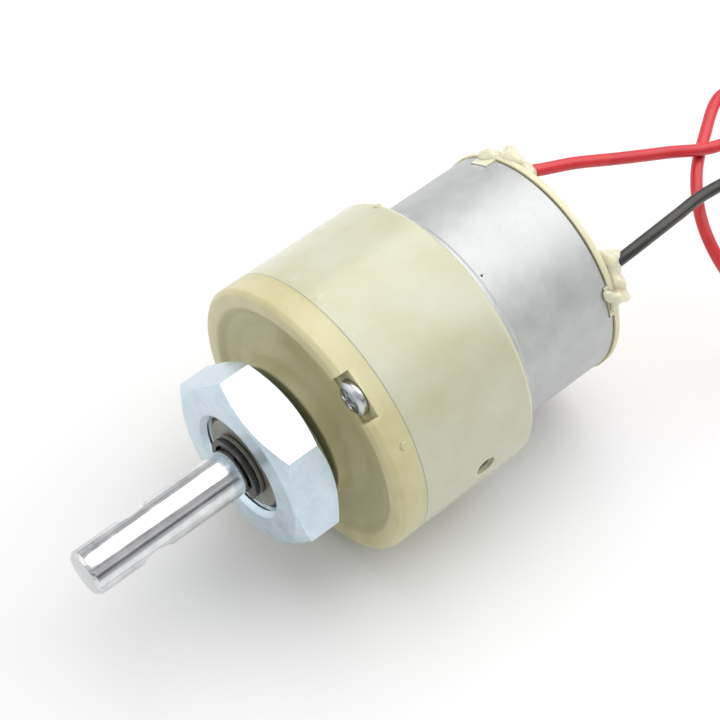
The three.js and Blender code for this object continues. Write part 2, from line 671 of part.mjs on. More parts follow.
function samples(path, steps) {
  const points = path.map(([x, y, z]) => new THREE.Vector3(x, y, z));
  return new THREE.CatmullRomCurve3(points, false, 'centripetal').getSpacedPoints(steps);
}

// the same samples with a straight end added before and after
function lengthened(points, before, after) {
  const beyond = (end, neighbour, length) =>
    end.clone().sub(neighbour).normalize().multiplyScalar(length).add(end);
  const start = beyond(points[0], points[1], before);
  return [start, ...points, beyond(points.at(-1), points.at(-2), after)];
}

const along = (points, radius, sides, boreR) => extrude(
  circle(radius, sides),
  boreR ? [circle(boreR, sides)] : [],
  { steps: points.length - 1, extrudePath: new Sampled(points) },
);

// hot-melt bead over the joint, closed round the wire and the terminal
function glueBead({ angle, side }, line) {
  const sphere = new THREE.SphereGeometry(1, 14, 8);
  sphere.scale(2.35, 2.05, 2.35);
  sphere.translate(0, 39.4, 0);
  const bead = solid(at(polar(13.35, angle - side * 2), sphere));
  const capSide = box([8, 18], [34, CAP_REAR + 0.06], [-6, 6], angle);
  const wireHole = along(lengthened(line.slice(0, 4), 1.4, 0.2), WIRE_R + 0.1, 9);
  return cut(bead, capSide, wireHole, terminalBlade(angle, 36, 43, 0.08));
}

[
  { colour: 'red', path: RED_PATH, material: RED, steps: 34 },
  { colour: 'black', path: BLACK_PATH, material: BLACK, steps: 17 },
].forEach(({ colour, path, material, steps }, i) => {
  const line = samples(path, steps);
  put(`${colour}_wire`, along(line, WIRE_R, 7, JACKET_BORE_R), material);
  put(`${colour}_wire_core`, along(lengthened(line, 1.0, 3.2), CORE_R, 5), TIN);
  putSolid(`glue_bead_${i + 1}`, glueBead(TERMINALS[i], line), GLUE);
});

root.position.y = -SHAFT_TIP;
root.updateMatrixWorld(true);
export default root;
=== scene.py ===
"""A round gearmotor with a hexagon nut on its threaded bush, a cross-drilled shaft and two leads.

The shaft axis is world Y. The shaft's end face is at y = 0 and points to -Y, the end cap and
the leads are at +Y, and Z is up. Pieces are drawn in millimetres, with y counted from the
cover's rim plane. Angles are degrees round the axis, from +X towards +Z.
"""
import json
import math
import bpy
import bmesh
from mathutils import Vector, Matrix, noise


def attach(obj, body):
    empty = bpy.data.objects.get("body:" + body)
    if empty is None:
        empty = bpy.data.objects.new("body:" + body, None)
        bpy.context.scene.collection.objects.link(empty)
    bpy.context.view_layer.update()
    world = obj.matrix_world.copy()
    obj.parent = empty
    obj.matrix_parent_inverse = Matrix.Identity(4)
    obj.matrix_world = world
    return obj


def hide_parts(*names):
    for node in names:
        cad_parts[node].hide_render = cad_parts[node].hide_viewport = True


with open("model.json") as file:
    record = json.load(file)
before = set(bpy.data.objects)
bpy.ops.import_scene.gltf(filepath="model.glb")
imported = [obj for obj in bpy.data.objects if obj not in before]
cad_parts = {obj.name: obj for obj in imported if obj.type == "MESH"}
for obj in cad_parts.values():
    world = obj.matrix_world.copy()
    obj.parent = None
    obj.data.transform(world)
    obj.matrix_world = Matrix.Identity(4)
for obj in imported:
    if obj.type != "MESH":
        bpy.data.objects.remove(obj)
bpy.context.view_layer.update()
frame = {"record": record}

SCENE = bpy.context.scene
MM = 0.001
Y0 = 32.0               # from the shaft's end face to the rim plane

# dimensions that several pieces share, in mm and degrees
BODY_R = 18.5           # cover and ring housing
CAN_R = 15.5            # motor can
BAND_R = 15.74          # raised band of the can, and the end cap's rim
SHAFT_R = 3.0
THREAD_PITCH = 1.0      # bush and nut
SCREW_ANGLES = (57.6, 237.6)
SCREW_CIRCLE_R = 16.0
TAG_ANGLES = (98, 41)   # solder tags
GRUB_PLACE = (-4, 13.2)  # angle and y of the grub screw in the ring housing
# (angle, half width, y of the inner end) of the keys between can and end cap
KEYS = [
    (deg + turn, half_width, y)
    for turn in (0, 180)
    for deg, half_width, y in ((121.7, 1.5, 35.75), (24, 2.1, 36.75))
]


def rad(deg):
    return deg * math.pi / 180


def polar(r, deg):
    return r * math.cos(rad(deg)), r * math.sin(rad(deg))


def arc(r, start, end, steps):
    return [polar(r, start + (end - start) * k / steps) for k in range(steps + 1)]


# ------------------------------------------------------------------ mesh helpers
def new_object(mesh):
    obj = bpy.data.objects.new("part", mesh)
    bpy.context.collection.objects.link(obj)
    return obj


def make(verts, faces):
    """A new object from points in mm, with y from the rim plane."""
    mesh = bpy.data.meshes.new("part")
    mesh.from_pydata([(x * MM, (y + Y0) * MM, z * MM) for x, y, z in verts], [], faces)
    mesh.validate()
    obj = new_object(mesh)
    fix(obj)
    return obj


def fix(obj):
    """Merges doubled points and turns the faces outwards."""
    bm = bmesh.new()
    bm.from_mesh(obj.data)
    bmesh.ops.remove_doubles(bm, verts=bm.verts, dist=2e-7)
    bmesh.ops.recalc_face_normals(bm, faces=bm.faces)
    if bm.calc_volume(signed=True) < 0:
        bmesh.ops.reverse_faces(bm, faces=bm.faces)
    bm.to_mesh(obj.data)
    bm.free()


def rounded(points, closed):
    """Rounds the corners of an outline of (radius, y) or (radius, y, fillet) points."""
    outline = []
    count = len(points)
    for i, (r, y, *fillet) in enumerate(points):
        if not fillet or (not closed and i in (0, count - 1)):
            outline.append((r, y))
            continue
        corner = Vector((r, y))
        before = Vector(points[i - 1][:2]) - corner
        after = Vector(points[(i + 1) % count][:2]) - corner
        room = min(before.length, after.length) * 0.48
        before.normalize()
        after.normalize()
        opening = math.acos(max(-1, min(1, before.dot(after))))
        if not 0.05 <= opening <= math.pi - 0.05:
            outline.append((r, y))
            continue
        reach = min(fillet[0] / math.tan(opening / 2), room)
        radius = reach * math.tan(opening / 2)
        centre = corner + (before + after).normalized() * (radius / math.sin(opening / 2))
        start = corner + before * reach - centre
        end = corner + after * reach - centre
        angle = math.atan2(start.y, start.x)
        turn = math.atan2(end.y, end.x) - angle
        while turn > math.pi:
            turn -= 2 * math.pi
        while turn < -math.pi:
            turn += 2 * math.pi
        steps = max(3, int(math.degrees(math.pi - opening) / 15))
        for j in range(steps + 1):
            a = angle + turn * j / steps
            outline.append((centre.x + radius * math.cos(a), centre.y + radius * math.sin(a)))
    return outline


def subdivided(outline, closed, max_step):
    fine = []
    count = len(outline)
    for i, a in enumerate(outline):
        fine.append(a)
        if i == count - 1 and not closed:
            break
        b = outline[(i + 1) % count]
        extra = int(math.hypot(b[0] - a[0], b[1] - a[1]) / max_step)
        for j in range(1, extra + 1):
            t = j / (extra + 1)
            fine.append((a[0] + (b[0] - a[0]) * t, a[1] + (b[1] - a[1]) * t))
    return fine


def lathe(points, sides, max_step=None, wobble=None):
    """Revolves an outline about the axis; one that starts off the axis is a closed loop."""
    closed = points[0][0] > 1e-9
    outline = rounded(points, closed)
    if max_step:
        outline = subdivided(outline, closed, max_step)
    verts, rows = [], []
    for r, y in outline:
        first = len(verts)
        if r < 1e-9:
            verts.append((0, y, 0))
        else:
            for k in range(sides):
                a = 2 * math.pi * k / sides
                radius = r + (wobble(r, y, a) if wobble else 0)
                verts.append((radius * math.cos(a), y, radius * math.sin(a)))
        rows.append(range(first, len(verts)))
    pairs = list(zip(rows, rows[1:]))
    if closed:
        pairs.append((rows[-1], rows[0]))
    faces = []
    for a, b in pairs:
        for k in range(sides):
            j = (k + 1) % sides
            if len(a) == 1:
                faces.append((a[0], b[j], b[k]))
            elif len(b) == 1:
                faces.append((a[k], a[j], b[0]))
            else:
                faces.append((a[k], a[j], b[j], b[k]))
    return make(verts, faces)


def rod(radius, y_start, y_end, sides):
    return lathe([(0, y_start), (radius, y_start), (radius, y_end), (0, y_end)], sides)


def extrude(outline, y_start, y_end):
    """A prism along y from an outline of (x, z) points."""
    n = len(outline)
    verts = [(x, y, z) for y in (y_start, y_end) for x, z in outline]
    faces = [tuple(range(n)), tuple(range(2 * n - 1, n - 1, -1))]
    faces += [(k, (k + 1) % n, n + (k + 1) % n, n + k) for k in range(n)]
    return make(verts, faces)


def spun(verts, deg):
    """The points turned about the axis."""
    c, s = math.cos(rad(deg)), math.sin(rad(deg))
    return [(x * c - z * s, y, x * s + z * c) for x, y, z in verts]


def block(radii, ys, half_width, deg=0.0):
    """A box that spans the radii at an angle, equally wide to both sides of it."""
    verts = [(x, y, z) for x in radii for y in ys for z in (-half_width, half_width)]
    faces = [(0, 1, 3, 2), (4, 6, 7, 5), (0, 4, 5, 1), (2, 3, 7, 6), (0, 2, 6, 4), (1, 5, 7, 3)]
    return make(spun(verts, deg), faces)


def moved(obj, matrix):
    """Applies a matrix given about the rim-plane origin, in mm."""
    origin = Matrix.Translation((0, Y0 * MM, 0))
    shift = Matrix.Translation(matrix.to_translation() * MM)
    obj.data.transform(origin @ shift @ matrix.to_3x3().to_4x4() @ origin.inverted())
    return obj


def beside(obj, r, deg):
    """Moves a body off the axis, and keeps it parallel to it."""
    x, z = polar(r, deg)
    return moved(obj, Matrix.Translation((x, 0, z)))


def radial(obj, deg, y):
    """Lays a body built about the axis along the radius: its y becomes the radius."""
    turn = Matrix.Rotation(-rad(deg), 4, "Y") @ Matrix.Rotation(-math.pi / 2, 4, "Z")
    return moved(obj, Matrix.Translation((0, y, 0)) @ turn)


def nub(deg, y, foot, radius, tip_radius, shoulder, top, fillet=0.1, sides=20):
    """A small radial pip; foot, shoulder and top are distances from the axis."""
    outline = [(0, foot), (radius, foot), (tip_radius, shoulder, fillet), (0, top)]
    return radial(lathe(outline, sides), deg, y)


def ripple(height, across, along, min_r, min_y=0):
    """A wobble for lathe: faint waves on the surface outside min_r and beyond min_y."""
    def wobble(r, y, a):
        if r > min_r and y > min_y:
            place = (r * math.cos(a) * across, y * along, r * math.sin(a) * across)
            return height * noise.noise(Vector(place))
        return 0.0
    return wobble


def apply_modifiers(obj):
    graph = bpy.context.evaluated_depsgraph_get()
    mesh = bpy.data.meshes.new_from_object(obj.evaluated_get(graph))
    old = obj.data
    obj.modifiers.clear()
    obj.data = mesh
    bpy.data.meshes.remove(old)


def boolean(obj, tools, operation="DIFFERENCE"):
    """Cuts or fuses with each tool in turn, and removes the tools."""
    for tool in tools:
        mod = obj.modifiers.new("boolean", "BOOLEAN")
        mod.operation = operation
        mod.solver = "EXACT"
        mod.object = tool
        apply_modifiers(obj)
        bpy.data.objects.remove(tool, do_unlink=True)


def soften(obj, width, angle):
    """Bevels the edges sharper than the angle; the width is in mm."""
    mod = obj.modifiers.new("bevel", "BEVEL")
    mod.width = width * MM
    mod.segments = 2
    mod.limit_method = "ANGLE"
    mod.angle_limit = rad(angle)
    mod.use_clamp_overlap = True
    mod.harden_normals = False
    mod.miter_outer = "MITER_ARC"
    apply_modifiers(obj)


def piece(obj, name, body, node, slot, angle=32, look=None):
    """Names, paints and shades a finished body, hides the CAD node it replaces and attaches it to
    the body's empty.
    """
    obj.name = name
    mesh = obj.data
    mesh.name = name
    mesh.materials.clear()
    mesh.materials.append(LOOKS[look or slot])
    mesh.shade_smooth()
    mesh.set_sharp_from_angle(angle=rad(angle))
    mod = obj.modifiers.new("normals", "WEIGHTED_NORMAL")
    mod.keep_sharp = True
    mod.weight = 60
    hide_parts(node)
    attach(obj, body)


# ------------------------------------------------------------------ node helpers
def feed(tree, socket, value):
    """Sets a socket to a number, colour or vector, or links another socket to it."""
    if isinstance(value, (int, float)):
        socket.default_value = value
    elif isinstance(value, tuple):
        socket.default_value = (*value, 1)[:len(socket.default_value)]
    else:
        tree.links.new(value, socket)


def add_node(tree, kind, inputs=None):
    node = tree.nodes.new(kind)
    for key, value in (inputs or {}).items():
        feed(tree, node.inputs[key], value)
    return node


def math_node(tree, operation, *values):
    node = add_node(tree, "ShaderNodeMath", dict(enumerate(values)))
    node.operation = operation
    return node.outputs[0]


def ramp_node(tree, factor, stops):
    """A colour ramp from (position, colour) stops."""
    node = add_node(tree, "ShaderNodeValToRGB", {0: factor})
    elements = node.color_ramp.elements
    while len(elements) < len(stops):
        elements.new(0.5)
    for element, (position, colour) in zip(elements, stops):
        element.position = position
        element.color = (*colour, 1)
    return node.outputs[0]


class Shader:
    """A Principled material whose patterns are laid out in millimetres."""

    def __init__(self, name):
        self.material = bpy.data.materials.new(name)
        self.material.use_nodes = True
        self.tree = self.material.node_tree
        self.tree.nodes.clear()
        output = self.add("ShaderNodeOutputMaterial")
        self.surface = self.add("ShaderNodeBsdfPrincipled")
        feed(self.tree, output.inputs[0], self.surface.outputs[0])
        self.position = self.add("ShaderNodeTexCoord").outputs["Object"]
        self.normal = None

    def add(self, kind, inputs=None):
        return add_node(self.tree, kind, inputs)

    def set(self, **inputs):
        """Feeds inputs of the surface; an underscore stands for a space."""
        for key, value in inputs.items():
            feed(self.tree, self.surface.inputs[key.replace("_", " ")], value)

    def math(self, operation, *values):
        return math_node(self.tree, operation, *values)

    def coords(self, x=1.0, y=1.0, z=1.0):
        scale = (1000 * x, 1000 * y, 1000 * z)
        return self.add("ShaderNodeMapping", {"Scale": scale, "Vector": self.position}).outputs[0]

    def turned(self, density):
        """Coordinates that change only along the radius and the axis: lathe marks."""
        split = self.add("ShaderNodeSeparateXYZ", {0: self.position})
        # the centre of the marks is x = z = 0
        x = self.math("SUBTRACT", split.outputs[0], 0.0)
        z = self.math("SUBTRACT", split.outputs[2], 0.0)
        squares = self.math("ADD", self.math("MULTIPLY", x, x), self.math("MULTIPLY", z, z))
        r = self.math("SQRT", squares)
        along_r = self.math("MULTIPLY", r, 1000 * density)
        along_y = self.math("MULTIPLY", split.outputs[1], 1000 * density)
        return self.add("ShaderNodeCombineXYZ", {0: along_r, 1: along_y}).outputs[0]

    def noise(self, vector, scale=1.0, detail=4.0, rough=0.55):
        inputs = {"Scale": scale, "Detail": detail, "Roughness": rough, "Vector": vector}
        return self.add("ShaderNodeTexNoise", inputs).outputs["Fac"]

    def cells(self, vector, scale):
        inputs = {"Scale": scale, "Vector": vector}
        return self.add("ShaderNodeTexVoronoi", inputs).outputs["Distance"]

    def remap(self, value, span, to):
        return self.add("ShaderNodeMapRange", dict(enumerate((value, *span, *to)))).outputs[0]

    def mix(self, factor, a, b):
        node = self.add("ShaderNodeMix")
        node.data_type = "RGBA"
        for index, value in ((0, factor), (6, a), (7, b)):
            feed(self.tree, node.inputs[index], value)
        return node.outputs[2]

    def bump(self, height, strength, distance):
        """Adds a bump on top of those before it; the distance is in mm."""
        inputs = {"Strength": strength, "Distance": distance * MM, "Height": height}
        if self.normal:
            inputs["Normal"] = self.normal
        self.normal = self.add("ShaderNodeBump", inputs).outputs[0]
        self.set(Normal=self.normal)

    def edges(self, span, amount):
        """Near the amount on convex edges, and 0 on flat faces."""
        pointiness = self.add("ShaderNodeNewGeometry").outputs["Pointiness"]
        return self.math("MULTIPLY", self.remap(pointiness, span=span, to=(0.0, 1.0)), amount)

    def crevice(self, distance, samples=6):
        """1 in the open, falling to 0 where surfaces crowd within the distance in mm."""
        node = self.add("ShaderNodeAmbientOcclusion", {"Distance": distance * MM})
        node.samples = samples
        return node.outputs["AO"]


def shade(colour, factor):
    return tuple(min(1, v * factor) for v in colour)


def plastic(name, base, light, dark, rough, sss, radius=(1.0, 0.8, 0.45), grain=0.12,
            coat=0.0, deep=0.0, **inputs):
    """Clouded colour with specks.

    sss and radius set the subsurface light, grain the bumps, deep the painted shade in wide
    hollows; painted shade in narrow crevices is always added; inputs are further Principled
    inputs.
    """
    look = Shader(name)
    coords = look.coords()
    clouds = look.noise(coords, scale=0.13, detail=3.0, rough=0.6)
    mottle = look.noise(coords, scale=0.9)
    colour = ramp_node(look.tree, clouds, [(0.3, dark), (0.52, base), (0.75, light)])
    specks = look.noise(look.coords(), scale=5.0, detail=3.0, rough=0.6)
    specks = look.remap(specks, span=(0.5, 0.85), to=(0.0, 0.12))
    colour = look.mix(specks, colour, shade(dark, 0.82))
    colour = look.mix(look.remap(mottle, span=(0.35, 0.7), to=(0.0, 0.22)), colour, light)
    # painted shade: colour darkened where surfaces crowd within 1 mm (ambient occlusion)
    crevice_shade = look.remap(look.crevice(distance=1.0), span=(0.35, 0.95), to=(0.55, 0.0))
    colour = look.mix(crevice_shade, colour, shade(dark, 0.55))
    if deep:
        # painted shade: colour darkened in wide hollows, within 7 mm (ambient occlusion)
        hollow = look.remap(look.crevice(distance=7.0), span=(0.15, 0.95), to=(deep, 0.0))
        colour = look.mix(hollow, colour, shade(dark, 0.5))
    worn = look.edges(span=(0.52, 0.6), amount=0.3)
    colour = look.mix(worn, colour, shade(light, 1.12))
    look.set(Base_Color=colour, Roughness=look.remap(mottle, span=(0.3, 0.7), to=rough))
    look.set(IOR=1.5, Subsurface_Weight=sss, Subsurface_Radius=radius, Subsurface_Scale=0.0016)
    if coat:
        look.set(Coat_Weight=coat, Coat_Roughness=0.16)
    look.set(**inputs)
    look.bump(look.noise(look.coords(), scale=6.0), strength=grain, distance=0.012)
    waves = look.noise(look.coords(), scale=0.35, detail=2.0, rough=0.5)
    look.bump(waves, strength=grain, distance=0.05)
    return look.material


def metal(name, base, dark, rough=(0.18, 0.32), lines=None, mottle=0.35, bump=0.12, spots=0.0,
          wear=(0.9, 0.9, 0.9), metallic=1.0, edge=0.5, deep=0.55, streak=0.0):
    """Clouded metal.

    lines: 'turned' for lathe marks, 'drawn' for marks along the axis, None for plain.
    mottle, spots, edge, deep and streak are the strengths of the fine mottling, the round
    spots, the worn edges, the painted shade in crevices and the long streaks.
    """
    look = Shader(name)
    coords = look.coords()
    clouds = look.noise(coords, scale=0.35, rough=0.6)
    fine = look.noise(coords, scale=5.0, rough=0.6)
    colour = ramp_node(look.tree, clouds, [(0.32, dark), (0.68, base)])
    colour = look.mix(look.remap(fine, span=(0.4, 0.75), to=(0.0, mottle)), colour, dark)
    if spots:
        dots = look.remap(look.cells(coords, scale=1.3), span=(0.05, 0.32), to=(1.0, 0.0))
        colour = look.mix(look.math("MULTIPLY", dots, spots), colour, wear)
    if lines == "turned":
        marks = look.noise(look.turned(density=14.0), detail=3.0, rough=0.6)
    elif lines == "drawn":
        marks = look.noise(look.coords(x=9.0, y=0.22, z=9.0), rough=0.65)
    else:
        marks = look.noise(look.coords(), scale=14.0, detail=3.0, rough=0.6)
    stain = look.remap(marks, span=(0.45, 0.8), to=(0.0, 0.28))
    colour = look.mix(stain, colour, shade(dark, 0.7))
    colour = look.mix(look.edges(span=(0.53, 0.62), amount=edge), colour, wear)
    # painted shade: colour darkened where surfaces crowd within 0.9 mm (ambient occlusion)
    crevice = look.crevice(distance=0.9, samples=5)
    colour = look.mix(look.remap(crevice, span=(0.25, 0.8), to=(deep, 0.0)),
                      colour, shade(dark, 0.18))
    if streak:
        # long streaks, and darker colour on the faces that point to -Y
        long = look.noise(look.coords(x=2.2, y=0.02, z=2.2), detail=3.0, rough=0.7)
        colour = look.mix(look.remap(long, span=(0.5, 0.66), to=(0.0, streak)),
                          colour, shade(dark, 0.55))
        normal = look.add("ShaderNodeNewGeometry").outputs["Normal"]
        split = look.add("ShaderNodeSeparateXYZ", {0: normal})
        end = look.remap(split.outputs[1], span=(-0.97, -0.75), to=(0.45, 0.0))
        colour = look.mix(end, colour, shade(dark, 0.7))
    look.set(Base_Color=colour, Metallic=metallic)
    marks_rough = look.remap(marks, span=(0.25, 0.75), to=rough)
    clouds_rough = look.remap(clouds, span=(0.3, 0.7), to=(-0.04, 0.06))
    look.set(Roughness=look.math("ADD", marks_rough, clouds_rough))
    look.bump(marks, strength=bump, distance=0.02)
    look.bump(fine, strength=bump * 0.5, distance=0.03)
    return look.material


# ------------------------------------------------------------------ materials, by slot
LOOKS = {
    "cover": plastic(
        "cover_plastic", base=(0.61, 0.57, 0.325), light=(0.66, 0.625, 0.39),
        dark=(0.53, 0.485, 0.24), rough=(0.28, 0.42), sss=0.35, deep=0.75),
    "ring": plastic(
        "ring_nylon", base=(0.585, 0.58, 0.42), light=(0.62, 0.625, 0.49),
        dark=(0.56, 0.535, 0.345), rough=(0.18, 0.25), sss=0.35, grain=0.04,
        Specular_IOR_Level=0.7),
    "cap": plastic(
        "cap_plastic", base=(0.74, 0.69, 0.47), light=(0.8, 0.77, 0.6),
        dark=(0.66, 0.6, 0.37), rough=(0.3, 0.45), sss=0.35),
    "nylon": plastic(
        "white_nylon", base=(0.78, 0.76, 0.7), light=(0.85, 0.84, 0.8),
        dark=(0.68, 0.65, 0.57), rough=(0.32, 0.5), sss=0.3),
    "shaft": metal(
        "polished_shaft", base=(0.86, 0.87, 0.88), dark=(0.6, 0.61, 0.62),
        rough=(0.07, 0.16), lines="drawn", mottle=0.12, bump=0.1, streak=0.6),
    "steel": metal(
        "plain_steel", base=(0.74, 0.75, 0.76), dark=(0.5, 0.51, 0.52),
        rough=(0.16, 0.3), lines="turned"),
    "zinc": metal(
        "zinc_plate", base=(0.70, 0.81, 0.86), dark=(0.55, 0.66, 0.73), rough=(0.24, 0.38),
        lines="turned", mottle=0.4, bump=0.22, spots=0.25, wear=(0.5, 0.56, 0.6),
        edge=0.3, deep=0.45),
    "dark_steel": metal(
        "dark_machined_steel", base=(0.30, 0.295, 0.25), dark=(0.2, 0.196, 0.165),
        rough=(0.36, 0.52), lines="turned", mottle=0.3, bump=0.15, wear=(0.4, 0.4, 0.36),
        metallic=0.35, deep=0.7),
    "black_steel": metal(
        "black_spring_steel", base=(0.06, 0.06, 0.055), dark=(0.025, 0.025, 0.022),
        rough=(0.28, 0.45), mottle=0.5, wear=(0.4, 0.4, 0.38), metallic=0.8, deep=0.92),
    "can": metal(
        "plated_sheet_steel", base=(0.60, 0.615, 0.605), dark=(0.50, 0.515, 0.51),
        rough=(0.42, 0.55), mottle=0.5, bump=0.25, spots=0.1, wear=(0.7, 0.71, 0.71),
        metallic=0.62),
    "brass": metal(
        "plain_brass", base=(0.72, 0.52, 0.22), dark=(0.5, 0.34, 0.12),
        rough=(0.2, 0.36), lines="turned", wear=(0.9, 0.75, 0.4)),
    "bronze": metal(
        "sintered_bronze", base=(0.5, 0.3, 0.14), dark=(0.3, 0.17, 0.08),
        rough=(0.4, 0.6), bump=0.4, wear=(0.7, 0.5, 0.3)),
    "copper": metal(
        "copper", base=(0.75, 0.35, 0.18), dark=(0.5, 0.2, 0.1),
        rough=(0.2, 0.4), lines="drawn", wear=(0.9, 0.6, 0.4)),
    "tin": metal(
        "tinned_strands", base=(0.75, 0.75, 0.73), dark=(0.5, 0.5, 0.48),
        rough=(0.2, 0.4), wear=(0.95, 0.95, 0.95)),
    "ferrite": plastic(
        "ferrite", base=(0.05, 0.052, 0.056), light=(0.075, 0.078, 0.08),
        dark=(0.03, 0.03, 0.033), rough=(0.5, 0.8), sss=0.0, grain=0.5),
    "carbon": plastic(
        "carbon", base=(0.03, 0.03, 0.03), light=(0.05, 0.05, 0.05),
        dark=(0.015, 0.015, 0.015), rough=(0.45, 0.7), sss=0.0, grain=0.5),
    "fibre": plastic(
        "fibre_board", base=(0.2, 0.11, 0.05), light=(0.28, 0.17, 0.08),
        dark=(0.13, 0.07, 0.03), rough=(0.5, 0.75), sss=0.0, grain=0.5),
    "red": plastic(
        "red_insulation", base=(0.64, 0.025, 0.035), light=(0.72, 0.05, 0.055),
        dark=(0.52, 0.012, 0.02), rough=(0.28, 0.42), sss=0.12, radius=(1.0, 0.2, 0.1),
        grain=0.1, coat=0.15),
    "black": plastic(
        "black_insulation", base=(0.022, 0.021, 0.017), light=(0.04, 0.038, 0.032),
        dark=(0.012, 0.012, 0.01), rough=(0.26, 0.42), sss=0.0, coat=0.2),
    "glue": plastic(
        "hot_melt_glue", base=(0.90, 0.86, 0.62), light=(0.95, 0.93, 0.76),
        dark=(0.85, 0.78, 0.5), rough=(0.14, 0.3), sss=0.6, grain=0.15, coat=0.5,
        Transmission_Weight=0.25),
}

# the CAD pieces take the look of their slot
for node_name, slot_name in {
    part["node"]: part["material_slot"] for part in frame["record"]["subparts"]
}.items():
    cad_piece = bpy.data.objects.get(node_name)
    if cad_piece is not None:
        cad_piece.data.materials.clear()
        cad_piece.data.materials.append(LOOKS[slot_name])

# Outlines below are lists of (radius, y, fillet) in mm; a point without a fillet stays sharp.

# ------------------------------------------------------------------ front cover
COVER_OUTLINE = [
    (6.62, -1.9, 0.1), (9.25, -1.9, 0.35), (9.5, 0.1, 1.2), (10.9, 1.4, 2.0),
    (13.0, 1.4, 4.0), (15.1, 0.75, 2.2), (16.1, 0.0, 0.9), (17.95, 0.0, 0.45),
    (BODY_R, 0.5, 0.45), (BODY_R, 3.8, 0.04), (18.44, 3.88, 0.03), (16.2, 3.88, 0.1),
    (16.2, 3.4, 0.1), (6.62, 3.4, 0.1),
]
SCREW_WELL = [(0, 0.9), (2.62, 0.9), (2.62, 1.36), (1.2, 1.36), (1.2, 5), (0, 5)]

cover = lathe(COVER_OUTLINE, 240, max_step=1.3)
cutters = []
for deg in SCREW_ANGLES:
    # a notch through the rim, open to the side, with a round well for the screw head
    cutters.append(block(radii=(13.9, 19.5), ys=(-1, 1.42), half_width=3.13, deg=deg))
    cutters.append(beside(lathe(SCREW_WELL, 48), SCREW_CIRCLE_R, deg))
# two blind holes in the +Y face
cutters += [
    beside(rod(radius=1.08, y_start=2.1, y_end=4.2, sides=32), 8, deg) for deg in (120, 180)
]
boolean(cover, cutters)
boolean(cover, [
    nub(33.2, 2.62, foot=17.9, radius=0.62, tip_radius=0.55, shoulder=18.62, top=18.66,
        sides=24),
    nub(168.0, 3.1, foot=17.9, radius=0.5, tip_radius=0.36, shoulder=18.58, top=18.62,
        fillet=0.08),
], "UNION")
soften(cover, width=0.1, angle=42)
piece(cover, "front_cover_shell", "gearbox", "front_cover", "cover")

# ------------------------------------------------------------------ ring housing
RING_OUTLINE = [
    (16.3, 3.95, 0.1), (18.30, 3.95, 0.02), (18.40, 3.85, 0.02), (BODY_R, 3.92, 0.04),
    (BODY_R, 20.55, 0.3), (18.05, 21.05, 0.25), (15.95, 21.05, 0.12), (15.72, 20.8, 0.1),
    (15.72, 17.35, 0.1), (16.3, 17.35, 0.1),
]
SCREW_POST = [(0, 3.95), (2.15, 3.95, 0.1), (2.15, 14.2, 0.2), (0, 14.2)]
SCREW_POST_CIRCLE_R = 15.9
GRUB_HOLE = [(0, 14), (1.25, 14), (1.25, 17.9), (1.4, 18.1), (1.4, 20), (0, 20)]
# (angle, y, radius, top) of the nubs on the side
RING_NUBS = (
    (121.0, 20.4, 0.6, 18.72), (111.0, 4.45, 0.42, 18.6),
    (96.0, 4.4, 0.36, 18.58), (76.5, 4.4, 0.25, 18.56),
)

ring = lathe(RING_OUTLINE, 240, max_step=1.5,
             wobble=ripple(height=0.018, across=0.12, along=0.18, min_r=18.3))
posts = [beside(lathe(SCREW_POST, 40), SCREW_POST_CIRCLE_R, deg) for deg in SCREW_ANGLES]
boolean(ring, posts, "UNION")
cutters = [
    beside(rod(radius=1.1, y_start=3.0, y_end=12.0, sides=32), SCREW_CIRCLE_R, deg)
    for deg in SCREW_ANGLES
]
cutters.append(radial(lathe(GRUB_HOLE, 48), *GRUB_PLACE))
boolean(ring, cutters)
boolean(ring, [
    nub(deg, y, foot=17.5, radius=r, tip_radius=r * 0.8, shoulder=top - 0.06, top=top)
    for deg, y, r, top in RING_NUBS
], "UNION")
soften(ring, width=0.09, angle=42)
piece(ring, "ring_housing_shell", "gearbox", "ring_housing", "ring")

# ------------------------------------------------------------------ motor can
CAN_OUTLINE = [
    (3.12, 18.3, 0.1), (14.7, 18.3, 0.5), (14.7, 37.25, 0.08), (CAN_R, 37.25, 0.16),
    (CAN_R, 23.0, 0.25), (BAND_R, 22.62, 0.2), (BAND_R, 20.9, 0.1), (CAN_R, 20.8, 0.1),
    (CAN_R, 17.9, 0.4), (14.9, 17.4, 0.3), (3.9, 17.4, 0.3), (3.9, 15.95, 0.15),
    (3.12, 15.95, 0.1),
]
KEY_GAP = 0.15          # clearance round each key
DIMPLE_R = 0.18
DIMPLE = [
    (0, 15.15), (DIMPLE_R * 0.6, 15.2), (DIMPLE_R, 15.55), (DIMPLE_R, 17), (0, 17),
]

can = lathe(CAN_OUTLINE, 240, max_step=1.4,
            wobble=ripple(height=0.03, across=0.16, along=0.25, min_r=15.2, min_y=21))
cutters = [
    block(radii=(13.9, 16.5), ys=(y - KEY_GAP, 38.2), half_width=half_width + KEY_GAP, deg=deg)
    for deg, half_width, y in KEYS
]
cutters += [
    beside(rod(radius=1.3, y_start=16.5, y_end=19, sides=32), 10, deg) for deg in (-30, 150)
]
boolean(can, cutters)
boolean(can, [radial(lathe(DIMPLE, 24), deg, 23.4) for deg in (68.7, 248.0)])
soften(can, width=0.08, angle=45)
piece(can, "motor_can_shell", "gearbox", "motor_can", "can")

